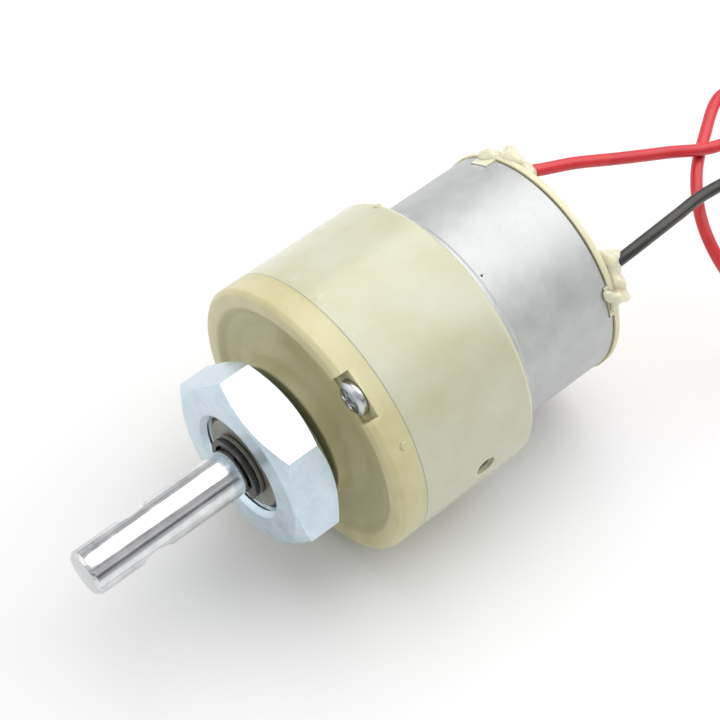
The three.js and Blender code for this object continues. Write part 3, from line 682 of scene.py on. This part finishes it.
# ------------------------------------------------------------------ end cap
CAP_OUTLINE = [
    (3.0, 37.35, 0.1), (13.4, 37.35, 0.15), (13.4, 34.8, 0.15), (14.5, 34.8, 0.2),
    (14.5, 37.4, 0.05), (BAND_R, 37.4, 0.1), (BAND_R, 38.1, 0.25), (15.45, 38.4, 0.25),
    (13.2, 38.4, 0.12), (12.9, 38.15, 0.12), (6.2, 38.15, 0.12), (5.9, 38.4, 0.12),
    (4.8, 38.4, 0.25), (4.8, 40.25, 0.2), (4.45, 40.6, 0.2), (3.0, 40.6, 0.12),
]
RIB_ANGLES = (-35, 10, 145, 190, 235, 280)

cap = lathe(CAP_OUTLINE, 240, max_step=1.6)
additions = [
    block(radii=(14.0, 15.56), ys=(y, 37.9), half_width=half_width, deg=deg)
    for deg, half_width, y in KEYS
]
# low ribs across the +Y face, from the hub to the rim
additions += [
    block(radii=(4.2, 13.6), ys=(37.9, 38.38), half_width=0.45, deg=deg) for deg in RIB_ANGLES
]
boolean(cap, additions, "UNION")
# slots for the solder tags
boolean(cap, [
    block(radii=(12.2, 13.2), ys=(36, 40), half_width=1.4, deg=deg) for deg in TAG_ANGLES
])
soften(cap, width=0.1, angle=42)
piece(cap, "end_cap_shell", "gearbox", "end_cap", "cap")

# ------------------------------------------------------------------ hexagon nut
NUT_FRONT, NUT_REAR = -9.65, -3.3
NUT_CORNER_R = 12.55
NUT_TURN = 47.2         # angle of the first corner
CHAMFER_R = 10.6        # where the corner chamfer starts
CHAMFER_RUN = 2.9
CHAMFER_DROP = CHAMFER_RUN * 0.574
CHAMFER_END_R = CHAMFER_R + CHAMFER_RUN
BORE_R, BORE_MOUTH_R, BORE_CHAMFER = 6.55, 7.25, 0.62
NUT_GROOVES = 5

nut = extrude([polar(NUT_CORNER_R, NUT_TURN + 60 * k) for k in range(6)], NUT_FRONT, NUT_REAR)
chamfered = lathe([
    (0, NUT_FRONT), (CHAMFER_R, NUT_FRONT, 0.5), (CHAMFER_END_R, NUT_FRONT + CHAMFER_DROP),
    (CHAMFER_END_R, NUT_REAR - CHAMFER_DROP), (CHAMFER_R, NUT_REAR, 0.5), (0, NUT_REAR),
], 240, max_step=0.5)
boolean(nut, [chamfered], "INTERSECT")
bore = lathe([
    (0, NUT_FRONT - 1), (BORE_MOUTH_R, NUT_FRONT - 1), (BORE_MOUTH_R, NUT_FRONT),
    (BORE_R, NUT_FRONT + BORE_CHAMFER), (BORE_R, NUT_REAR - BORE_CHAMFER),
    (BORE_MOUTH_R, NUT_REAR), (BORE_MOUTH_R, NUT_REAR + 1), (0, NUT_REAR + 1),
], 160, max_step=0.6)
boolean(nut, [bore])
grooves = []
for k in range(NUT_GROOVES):
    y = NUT_FRONT + 0.95 + k * THREAD_PITCH
    grooves += [(6.5, y - 0.42), (6.86, y - 0.06), (6.86, y + 0.06), (6.5, y + 0.42)]
boolean(nut, [lathe([(0, grooves[0][1]), *grooves, (0, grooves[-1][1])], 120)])
soften(nut, width=0.085, angle=24)
piece(nut, "hex_nut", "nut", "mounting_nut", "zinc", angle=24)

# ------------------------------------------------------------------ threaded bush
BUSH_FRONT = -8.85
BUSH_CREST_R, BUSH_ROOT_R = 6.43, 6.0
BUSH_THREADS = 10

bush_outline = [
    (3.1, BUSH_FRONT + 0.28, 0.05), (3.38, BUSH_FRONT, 0.05), (5.95, BUSH_FRONT, 0.08),
    (6.2, -8.6, 0.05),
]
for k in range(BUSH_THREADS):
    y = -8.25 + k * THREAD_PITCH
    bush_outline += [
        (BUSH_CREST_R, y - 0.12, 0.04), (BUSH_CREST_R, y + 0.12, 0.04),
        (BUSH_ROOT_R, y + 0.46, 0.06), (BUSH_ROOT_R, y + 0.54, 0.06),
    ]
bush_outline += [
    (BUSH_CREST_R, 1.36, 0.05), (6.45, 3.45, 0.05), (6.9, 3.45, 0.08), (6.9, 4.6, 0.1),
    (3.07, 4.6, 0.1),
]
piece(lathe(bush_outline, 180), "threaded_bush", "gearbox", "output_bush", "dark_steel",
      angle=28)

# ------------------------------------------------------------------ output shaft
SHAFT_OUTLINE = [
    (0, -Y0), (2.62, -Y0, 0.06), (SHAFT_R, -31.6, 0.1),
    (SHAFT_R, -10.33, 0.04), (2.2, -10.33, 0.04), (2.2, -9.55, 0.04), (SHAFT_R, -9.55, 0.04),
    (SHAFT_R, 4.75, 0.1), (2.5, 4.75, 0.1), (2.5, 8.4, 0.2), (0, 8.4),
]
# a hole right through, flared at both mouths; its own axis is the outline's y
CROSS_HOLE = [
    (0, -4), (2.62, -4), (2.3, -2.78, 0.1), (1.5, -2.25, 0.12),
    (1.5, 2.25, 0.12), (2.3, 2.78, 0.1), (2.62, 4), (0, 4),
]

shaft = lathe(SHAFT_OUTLINE, 160, max_step=1.0)
flat = block(radii=(2.0, 4), ys=(5.03, 9), half_width=4)
boolean(shaft, [radial(lathe(CROSS_HOLE, 72), 151, -23.5), flat])
soften(shaft, width=0.06, angle=35)
piece(shaft, "drive_shaft", "output", "output_shaft", "steel", angle=30, look="shaft")


# ------------------------------------------------------------------ spring clip and washer
def clip_outline():
    """An open ring with three lands that reach inwards to the shaft's groove."""
    outer_r, inner_r, land_r = 4.15, 3.4, 2.32
    mouth_at = -77
    mouth = 38          # half the opening, in degrees
    land = 16           # half the width of a land
    gap = 4             # run from a land to the inner edge
    middle = mouth_at + 180
    side = 180 - mouth - land - 2   # from the middle land to each side land
    return (
        arc(outer_r, mouth_at + mouth, mouth_at + 360 - mouth, 90)
        + arc(land_r, middle + side + land, middle + side - land, 10)
        + arc(inner_r, middle + side - land - gap, middle + land + gap, 18)
        + arc(land_r, middle + land, middle - land, 12)
        + arc(inner_r, middle - land - gap, middle - side + land + gap, 18)
        + arc(land_r, middle - side + land, middle - side - land, 10)
    )


WASHER_OUTLINE = [(3.08, -9.52, 0.06), (4.1, -9.52, 0.12), (4.1, -8.92, 0.12), (3.08, -8.92, 0.06)]

clip = extrude(clip_outline(), y_start=-10.28, y_end=-9.6)
soften(clip, width=0.07, angle=30)
piece(clip, "shaft_clip", "output", "snap_ring", "black_steel", angle=30)
piece(lathe(WASHER_OUTLINE, 120), "bush_washer", "gearbox", "thrust_washer", "black_steel",
      look="dark_steel")

# ------------------------------------------------------------------ screws
SCREW_HEAD = [
    (0, 0.25), (0.9, 0.26, 0.4), (1.75, 0.4, 0.5), (2.3, 0.82, 0.35), (2.3, 1.34, 0.08),
    (1.0, 1.34, 0.12),
]
SCREW_TIP = [(0.75, 10.6), (0.2, 11.5), (0, 11.5)]
SCREW_CREST_R, SCREW_ROOT_R = 1.04, 0.82
SCREW_THREADS, SCREW_THREAD_PITCH = 11, 0.8
RECESS_LEVELS = ((0.0, 0.30, 1.42), (1.0, 0.2, 0.55))   # (y, half width, half length)
WEDGE_FACES = [
    (0, 1, 2, 3), (4, 7, 6, 5), (0, 4, 5, 1), (1, 5, 6, 2), (2, 6, 7, 3), (3, 7, 4, 0),
]


def pan_screw():
    outline = list(SCREW_HEAD)
    for k in range(SCREW_THREADS):
        y = 2.0 + k * SCREW_THREAD_PITCH
        outline += [
            (SCREW_ROOT_R, y, 0.03), (SCREW_CREST_R, y + 0.3, 0.03), (SCREW_ROOT_R, y + 0.6, 0.03),
        ]
    screw = lathe(outline + SCREW_TIP, 72)
    # cross recess with tapering walls
    for deg in (18, 108):
        verts = []
        for y, w, l in RECESS_LEVELS:
            verts += [(-l, y, -w), (l, y, -w), (l, y, w), (-l, y, w)]
        boolean(screw, [make(spun(verts, deg), WEDGE_FACES)])
    soften(screw, width=0.05, angle=40)
    return screw


for i, deg in enumerate(SCREW_ANGLES):
    piece(beside(pan_screw(), SCREW_CIRCLE_R, deg), f"pan_screw_{i + 1}", "gearbox",
          f"cover_screw_{i + 1}", "steel", angle=30)

GRUB_OUTLINE = [
    (0, 14.3), (0.8, 14.3, 0.1), (1.2, 14.7, 0.1), (1.2, 17.3, 0.1), (1.0, 17.5, 0.05), (0, 17.5),
]
grub = lathe(GRUB_OUTLINE, 64)
boolean(grub, [extrude([polar(0.68, 60 * k) for k in range(6)], y_start=16.4, y_end=18.2)])
soften(grub, width=0.05, angle=35)
radial(grub, *GRUB_PLACE)
piece(grub, "side_grub_screw", "gearbox", "side_screw", "dark_steel", angle=30)

# ------------------------------------------------------------------ leads
# (x, y, z) along the middle of each lead
RED_PATH = [
    (-3.6, 38.75, 13.75), (-2.86, 40.1, 13.41), (-0.86, 45.17, 12.76), (1.27, 50.41, 11.53),
    (3.74, 56.83, 10.05), (7.0, 63.4, 9.4), (8.0, 69.5, 10.6), (4.4, 73.0, 11.2),
    (1.5, 69.75, 9.9), (4.1, 64.08, 8.2), (7.9, 58.77, 7.4), (12.39, 55.47, 5.4),
    (16.8, 54.7, 2.2), (21.6, 56.8, -3.4), (24.0, 60.6, -9.6),
]
BLACK_PATH = [
    (11.79, 40.2, 9.06), (12.0, 41.65, 9.51), (12.12, 45.81, 10.09), (12.0, 50.39, 10.22),
    (11.89, 55.8, 10.23), (13.0, 62.2, 9.6), (16.6, 67.6, 5.8), (20.6, 71.0, -0.6),
    (23.5, 73.4, -7.6),
]
LEAD_STEP = 0.35        # spacing of the rings along a lead
JACKET_R, JACKET_BORE_R = 0.8, 0.5
STRAND_R = 0.115
STRAND_CIRCLE_R = 0.235
STRAND_TWIST = 7.0      # length of one turn
BARE_START, BARE_END = 1.0, 3.2     # how far the strands pass the jacket


def between(a, b, t, t_a, t_b):
    return a * ((t_b - t) / (t_b - t_a)) + b * ((t - t_a) / (t_b - t_a))


def spline(path):
    """Centripetal Catmull-Rom through the points, evenly resampled."""
    points = [Vector(p) for p in path]
    points = [points[0] * 2 - points[1]] + points + [points[-1] * 2 - points[-2]]
    dense = []
    for quad in zip(points, points[1:], points[2:], points[3:]):
        knots = [0.0]
        for a, b in zip(quad, quad[1:]):
            knots.append(knots[-1] + (b - a).length ** 0.5)
        for k in range(40):
            t = knots[1] + (knots[2] - knots[1]) * k / 40
            first = [between(*quad[j:j + 2], t, knots[j], knots[j + 1]) for j in range(3)]
            second = [between(*first[j:j + 2], t, knots[j], knots[j + 2]) for j in range(2)]
            dense.append(between(*second, t, knots[1], knots[2]))
    dense.append(points[-2])
    line, run = [dense[0]], 0.0
    for a, b in zip(dense, dense[1:]):
        run += (b - a).length
        if run >= LEAD_STEP:
            line.append(b)
            run = 0.0
    if (line[-1] - dense[-1]).length > 0.1:
        line.append(dense[-1])
    return line


def cross_axes(line):
    """Two axes across the line at each point, carried along without twist."""
    last = len(line) - 1
    axes = []
    for i in range(len(line)):
        tangent = (line[min(last, i + 1)] - line[max(0, i - 1)]).normalized()
        if i == 0:
            side = tangent.orthogonal().normalized()
        side = (side - tangent * side.dot(tangent)).normalized()
        axes.append((side.copy(), tangent.cross(side)))
    return axes


def sweep(line, radius_at, sides, bore=None):
    """A body along the line; radius_at takes (index, angle), and bore makes it hollow."""
    axes = cross_axes(line)

    def wall(radius_at):
        points = []
        for i, (point, (u, v)) in enumerate(zip(line, axes)):
            for k in range(sides):
                a = 2 * math.pi * k / sides
                points.append(point + (u * math.cos(a) + v * math.sin(a)) * radius_at(i, a))
        return points

    verts = wall(radius_at)
    inner = len(verts)
    end = inner - sides     # first point of the last ring
    around = [(k, (k + 1) % sides) for k in range(sides)]
    rings = range(0, end, sides)
    faces = [(i + k, i + j, i + sides + j, i + sides + k) for i in rings for k, j in around]
    if bore:
        verts += wall(lambda i, a: bore)
        for i in rings:
            o = inner + i
            faces += [(o + k, o + sides + k, o + sides + j, o + j) for k, j in around]
        for k, j in around:
            faces.append((k, inner + k, inner + j, j))
            faces.append((end + k, end + j, inner + end + j, inner + end + k))
    else:
        faces.append(tuple(range(sides - 1, -1, -1)))
        faces.append(tuple(range(end, inner)))
    return make(verts, faces)


def strands(line):
    """Six strands twisted round a seventh, as separate closed bodies in one mesh."""
    axes = cross_axes(line)
    verts, faces = [], []
    for strand in range(7):
        points = []
        run = 0.0
        for i, (point, (u, v)) in enumerate(zip(line, axes)):
            if i:
                run += (line[i] - line[i - 1]).length
            if strand == 6:
                points.append(point)
            else:
                a = 2 * math.pi * (strand / 6 + run / STRAND_TWIST)
                points.append(point + (u * math.cos(a) + v * math.sin(a)) * STRAND_CIRCLE_R)
        obj = sweep(points, lambda i, a: STRAND_R, 8)
        first = len(verts)
        verts += [tuple(v.co) for v in obj.data.vertices]
        faces += [tuple(first + i for i in f.vertices) for f in obj.data.polygons]
        bpy.data.objects.remove(obj, do_unlink=True)
    mesh = bpy.data.meshes.new("strands")
    mesh.from_pydata(verts, [], faces)
    return new_object(mesh)


def core_line(line):
    """The line made longer at both ends, with no step much above LEAD_STEP."""
    start = line[0] + (line[0] - line[1]).normalized() * BARE_START
    end = line[-1] + (line[-1] - line[-2]).normalized() * BARE_END
    ends = [start] + line + [end]
    full = []
    for a, b in zip(ends, ends[1:]):
        steps = max(1, int((b - a).length / LEAD_STEP))
        full += [a.lerp(b, j / steps) for j in range(steps)]
    return full + [end]


def lead(colour, path, seed):
    line = spline(path)

    def skin(i, a):
        # slightly uneven, and drawn in at the first ring
        uneven = 0.012 * noise.noise(Vector((i * 0.09, seed, math.cos(a) * 0.6)))
        return JACKET_R + uneven - (0.03 if i == 0 else 0)

    jacket = sweep(line, skin, 24, bore=JACKET_BORE_R)
    soften(jacket, width=0.05, angle=60)
    piece(jacket, f"{colour}_lead_jacket", "gearbox", f"{colour}_wire", colour, angle=50)
    piece(strands(core_line(line)), f"{colour}_lead_strands", "gearbox",
          f"{colour}_wire_core", "tin", angle=50)


lead("red", RED_PATH, seed=3.1)
lead("black", BLACK_PATH, seed=8.4)

# ------------------------------------------------------------------ solder tags
for i, deg in enumerate(TAG_ANGLES):
    tag = block(radii=(12.5, 12.9), ys=(36.5, 39.3), half_width=0.9, deg=deg)
    boolean(tag, [radial(rod(radius=0.28, y_start=11, y_end=14, sides=28), deg, 38.85)])
    soften(tag, width=0.08, angle=40)
    piece(tag, f"solder_tag_{i + 1}", "gearbox", f"terminal_{i + 1}", "brass")


# ------------------------------------------------------------------ glue
def point_at(place):
    r, deg, y = place
    x, z = polar(r, deg)
    return x, y, z


def towards(start, end):
    """The direction from one (radius, angle, y) place to another."""
    return tuple(b - a for a, b in zip(point_at(start), point_at(end)))


def lump(place, size, seed, rough, floor=None, pull=()):
    """A lumpy bead at a (radius, angle, y) place.

    size holds its half lengths along x, y and z. It spreads flat where it meets y = floor.
    Each pull is (direction, amount, sharpness) of a bulge.
    """
    centre = Vector(point_at(place))
    bm = bmesh.new()
    bmesh.ops.create_icosphere(bm, subdivisions=4, radius=1.0)
    for vert in bm.verts:
        d = vert.co.normalized()
        k = (1.0 + rough * noise.noise(d * 1.3 + Vector((seed, seed * 0.7, -seed)))
             + rough * 0.45 * noise.noise(d * 3.1 + Vector((-seed, 2.0, seed))))
        for direction, amount, sharpness in pull:
            k += amount * max(0.0, d.dot(Vector(direction).normalized())) ** sharpness
        p = centre + Vector((d.x * size[0], d.y * size[1], d.z * size[2])) * k
        if floor is not None and p.y < floor:
            p.y = floor + (p.y - floor) * 0.08
            x, _, z = point_at(place)
            p.x = x + (p.x - x) * 1.12
            p.z = z + (p.z - z) * 1.12
        vert.co = Vector((p.x * MM, (p.y + Y0) * MM, p.z * MM))
    mesh = bpy.data.meshes.new("lump")
    bm.to_mesh(mesh)
    bm.free()
    obj = new_object(mesh)
    fix(obj)
    return obj


def glue_bead(number, lumps):
    """Fuses overlapping lumps into one smooth closed skin."""
    obj = lumps[0]
    boolean(obj, lumps[1:], "UNION")
    mod = obj.modifiers.new("remesh", "REMESH")
    mod.mode = "VOXEL"
    mod.voxel_size = 0.13 * MM
    apply_modifiers(obj)
    mod = obj.modifiers.new("smooth", "SMOOTH")
    mod.factor = 0.5
    mod.iterations = 3
    apply_modifiers(obj)
    piece(obj, f"glue_blob_{number}", "gearbox", f"glue_bead_{number}", "glue", angle=80)


glue_bead(1, [
    lump((12.9, 99.5, 38.8), (1.5, 0.95, 1.35), seed=6.1, rough=0.1, floor=38.2),
    lump((13.6, 104, 39.2), (1.5, 1.3, 1.4), seed=2.3, rough=0.12, floor=38.42),
    lump((14.6, 111, 38.8), (1.9, 1.45, 1.6), seed=4.6, rough=0.14,
         pull=[(towards((14.7, 112, 38.8), (15.3, 118, 40.6)), 0.75, 7)]),
    lump((15.0, 120, 38.0), (1.9, 1.2, 1.0), seed=7.7, rough=0.14,
         pull=[(towards((15.2, 121, 37.6), (15.7, 127, 36.2)), 0.45, 5)]),
])
STAR = (15.75, 24.5, 38.0)
# (place it points to, amount) of the star's spikes
SPIKES = (
    ((15.8, 32.0, 36.3), 1.25), ((16.2, 19.0, 40.3), 1.35), ((15.9, 25.5, 40.2), 0.9),
    ((15.8, 19.5, 37.2), 1.0), ((15.8, 27.0, 36.2), 0.6), ((15.0, 27.0, 38.6), 0.7),
)
glue_bead(2, [
    lump((12.9, 42, 38.9), (1.5, 1.1, 1.4), seed=1.9, rough=0.1, floor=38.2),
    lump((14.0, 38, 39.4), (2.0, 1.6, 2.0), seed=5.1, rough=0.12, floor=38.42,
         pull=[(towards((14.2, 39, 39.4), (15.2, 41, 42.2)), 0.5, 9)]),
    lump((14.5, 31, 38.9), (1.6, 1.2, 1.6), seed=9.4, rough=0.12,
         pull=[(towards((14.6, 31, 38.9), (15.9, 28, 39.6)), 0.4, 5)]),
    lump(STAR, (0.95, 1.0, 0.95), seed=3.3, rough=0.15,
         pull=[(towards(STAR, place), amount, 14) for place, amount in SPIKES]),
])

# ------------------------------------------------------------------ floor (metres from here on)
ground = Shader("studio_floor")
patches = ground.noise(ground.coords(), scale=0.02, detail=2.0)
patches = ground.remap(patches, span=(0.3, 0.7), to=(0.0, 1.0))
ground.set(Base_Color=ground.mix(patches, (0.86, 0.86, 0.86), (0.89, 0.89, 0.89)),
           Roughness=0.6, Specular_IOR_Level=0.2)
bpy.ops.mesh.primitive_plane_add(size=6.0, location=(0, 0.04, -0.0186))
floor = bpy.context.object
floor.name = "studio_floor"
floor.data.materials.append(ground.material)

# ------------------------------------------------------------------ world
ROOM_LIGHT = 0.8        # strength of the whole room
# (angle, brightness) of the room around the shaft axis
ROOM = (
    (-180, 0.85), (-1, 0.80), (9, 0.78), (14, 0.22), (23, 0.22), (29, 0.8), (46, 0.84),
    (52, 0.5), (60, 0.5), (66, 0.86), (125, 0.9), (137, 0.62), (150, 0.8), (180, 0.85),
)

world = bpy.data.worlds.new("studio")
SCENE.world = world
world.use_nodes = True
sky = world.node_tree
sky.nodes.clear()
direction = add_node(sky, "ShaderNodeTexCoord").outputs["Generated"]
split = add_node(sky, "ShaderNodeSeparateXYZ", {0: direction})
angle = math_node(sky, "ARCTAN2", split.outputs[2], split.outputs[0])
turn = math_node(sky, "DIVIDE", angle, math.pi)
position = math_node(sky, "ADD", math_node(sky, "MULTIPLY", turn, 0.5), 0.5)
colour = ramp_node(sky, position, [(deg / 360 + 0.5, (v, v, v * 1.01)) for deg, v in ROOM])
background = add_node(sky, "ShaderNodeBackground", {0: colour, 1: ROOM_LIGHT})
add_node(sky, "ShaderNodeOutputWorld", {0: background.outputs[0]})

# ------------------------------------------------------------------ lights and camera
CAMERA_RIGHT = Vector((0.65361131, 0.7568304, 0.0))
CAMERA_UP = Vector((-0.61087505, 0.52756185, 0.59034749))
CAMERA_BACK = Vector((0.44679293, -0.3858578, 0.8071492))
CAMERA_PLACE = Vector((0.10710797, -0.08309605 + Y0 * MM, 0.19788015))
KEY_LIGHT, FILL_LIGHT = 1.7, 0.7            # radiance
KEY_WIDTH, KEY_DEPTH = 1.1, 0.65
KEY_TILT = 18                               # degrees down, away from the camera
KEY_EDGE = Vector((0.36, 0.27, 0.55))       # middle of the side nearest the camera
FILL_SIZE = 0.7
FILL_PLACE = (-0.42, -0.52, 0.34)
FILL_TARGET = Vector((0, 0.03, 0))


def placed(x_axis, y_axis, z_axis, place):
    return Matrix(((*x_axis, 0), (*y_axis, 0), (*z_axis, 0), (*place, 1))).transposed()


def area_light(name, shape, size, energy):
    data = bpy.data.lights.new(name, "AREA")
    data.shape = shape
    data.size = size
    data.energy = energy
    obj = bpy.data.objects.new(name, data)
    bpy.context.collection.objects.link(obj)
    return obj


# a softbox above, level with the camera's right and running away from the camera
key = area_light("overhead_softbox", "RECTANGLE", KEY_WIDTH,
                 KEY_LIGHT * math.pi * KEY_WIDTH * KEY_DEPTH)
key.data.size_y = KEY_DEPTH
across = CAMERA_RIGHT.normalized()
away = (Vector((-across.y, across.x, 0.0)) * math.cos(rad(KEY_TILT))
        + Vector((0, 0, -math.sin(rad(KEY_TILT)))))
upward = across.cross(away).normalized()
key.matrix_world = placed(across, upward.cross(across), upward, KEY_EDGE + away * KEY_DEPTH / 2)

fill = area_light("front_fill", "SQUARE", FILL_SIZE, FILL_LIGHT * math.pi * FILL_SIZE ** 2)
fill.location = FILL_PLACE
fill.rotation_euler = (FILL_TARGET - fill.location).to_track_quat("-Z", "Y").to_euler()

camera_data = bpy.data.cameras.new("camera")
camera = bpy.data.objects.new("camera", camera_data)
bpy.context.collection.objects.link(camera)
camera.matrix_world = placed(CAMERA_RIGHT, CAMERA_UP, CAMERA_BACK, CAMERA_PLACE)
camera_data.sensor_width = 36.0
camera_data.lens = 100.0
camera_data.clip_start = 0.01
camera_data.clip_end = 20.0
SCENE.camera = camera
SCENE.view_settings.view_transform = "Standard"
SCENE.view_settings.look = "None"
SCENE.view_settings.exposure = 0.0
SCENE.view_settings.gamma = 1.0
